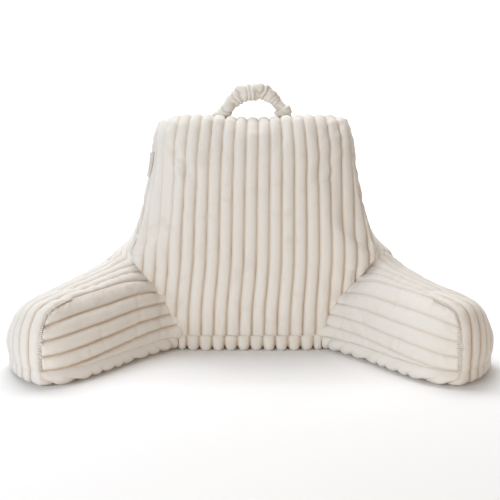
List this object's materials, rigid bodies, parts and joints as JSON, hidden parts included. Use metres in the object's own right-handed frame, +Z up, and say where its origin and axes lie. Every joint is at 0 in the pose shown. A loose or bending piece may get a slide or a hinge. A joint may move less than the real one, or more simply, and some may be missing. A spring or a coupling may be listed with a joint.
{
  "type": "reading pillow with arms",
  "caption": "Stuffed backrest pillow in ribbed plush with two splayed arm rests, boxed sides and a ruched carry handle, standing on its flat base.",
  "frame": {"origin": "middle of the flat underside, below the backrest", "axes": "+X to the right as seen from the front, along the pillow's width; +Y to the rear; +Z up"},
  "size_m": [0.9362, 0.4441, 0.5275],
  "materials": {
    "ribbed_plush": "short-pile ribbed plush, soft sheen",
    "handle_plush": "ruched short-pile plush",
    "label_tape": "plain woven tape"
  },
  "bodies": {
    "root": {"front_panel": "ribbed_plush", "rear_panel": "ribbed_plush", "arm_inner_left": "ribbed_plush", "arm_inner_right": "ribbed_plush", "arm_outer_left": "ribbed_plush", "arm_outer_right": "ribbed_plush", "gusset_left": "ribbed_plush", "gusset_right": "ribbed_plush", "base_panel": "ribbed_plush", "handle": "handle_plush", "side_label": "label_tape"}
  },
  "joints": []
}
